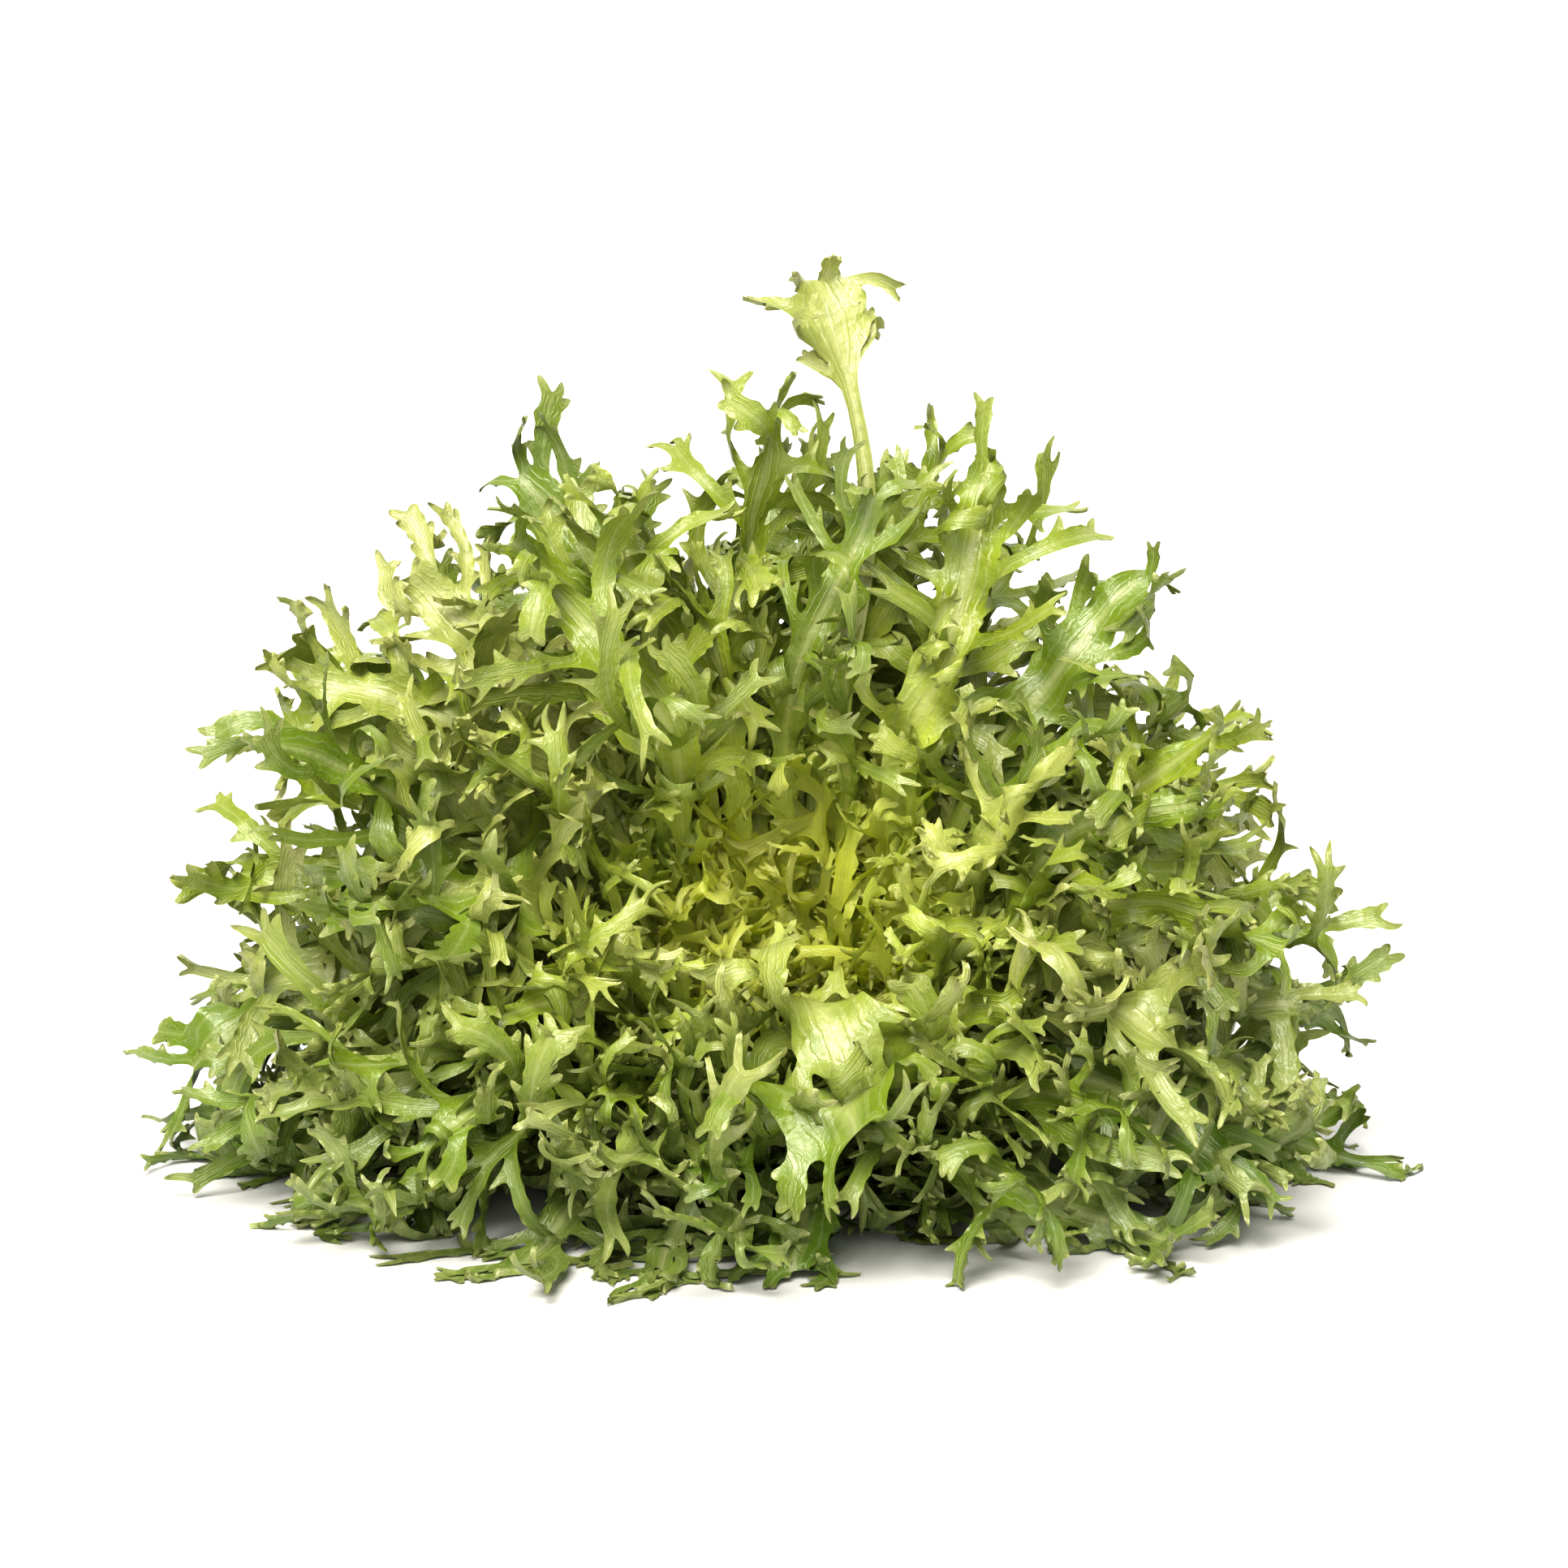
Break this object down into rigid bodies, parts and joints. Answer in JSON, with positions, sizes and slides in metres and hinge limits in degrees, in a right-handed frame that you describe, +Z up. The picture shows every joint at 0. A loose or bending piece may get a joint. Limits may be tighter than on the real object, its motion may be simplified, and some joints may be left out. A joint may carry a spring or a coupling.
{
  "type": "curly endive head",
  "caption": "Curly endive (frisee) head lying on its side: a pale heart of small leaves in a mound of cut, lobed leaves that grow from a short crown.",
  "frame": {"origin": "on the surface that the head lies on, under the middle of its bounding box", "axes": "+Z up, -Y to the front, which the heart faces, +X to the right as seen from the front; the head is widest along X"},
  "size_m": [0.3354, 0.253, 0.2416],
  "materials": {
    "leaf_green": "fresh leaf, satin, green with a paler rib",
    "leaf_pale": "fresh inner leaf, satin, pale yellow-green",
    "heart_yellow": "fresh heart leaf, satin, yellow",
    "stump_cream": "cut stem, moist, cream"
  },
  "bodies": {
    "root": {"crown": "stump_cream", "heart": "heart_yellow", "arched_leaf_right": "leaf_green", "broad_leaf_front": "leaf_green", "broad_leaf_left": "leaf_green", "floor_leaf_front": "leaf_green", "floor_leaf_left": "leaf_green", "floor_leaf_right": "leaf_green", "high_leaf_left": "leaf_green", "high_leaf_right": "leaf_green", "leaf_01": "leaf_pale", "leaf_02": "leaf_green", "leaf_03": "leaf_green", "leaf_04": "leaf_green", "leaf_05": "leaf_pale", "leaf_06": "leaf_green", "leaf_07": "leaf_pale", "leaf_08": "leaf_green", "leaf_09": "leaf_green", "leaf_10": "leaf_green", "leaf_11": "leaf_green", "leaf_12": "leaf_green", "leaf_13": "leaf_green", "leaf_14": "leaf_green", "leaf_15": "leaf_green", "leaf_16": "leaf_green", "leaf_17": "leaf_green", "leaf_18": "leaf_green", "leaf_19": "leaf_green", "leaf_20": "leaf_green", "leaf_21": "leaf_green", "leaf_22": "leaf_green", "leaf_23": "leaf_green", "leaf_24": "leaf_green", "leaf_25": "leaf_green", "leaf_26": "leaf_green", "leaf_27": "leaf_green", "leaf_28": "leaf_green", "leaf_29": "leaf_green", "leaf_30": "leaf_green", "leaf_31": "leaf_green", "leaf_32": "leaf_green", "leaf_33": "leaf_pale", "leaf_34": "leaf_green", "leaf_35": "leaf_green", "leaf_36": "leaf_green", "leaf_37": "leaf_green", "leaf_38": "leaf_green", "leaf_39": "leaf_pale", "leaf_40": "leaf_green", "leaf_41": "leaf_green", "leaf_42": "leaf_green", "low_leaf_right": "leaf_green", "side_leaf_left": "leaf_green", "spur_leaf_left": "leaf_green", "tall_leaf": "leaf_green", "upper_leaf_right": "leaf_green"}
  },
  "joints": []
}
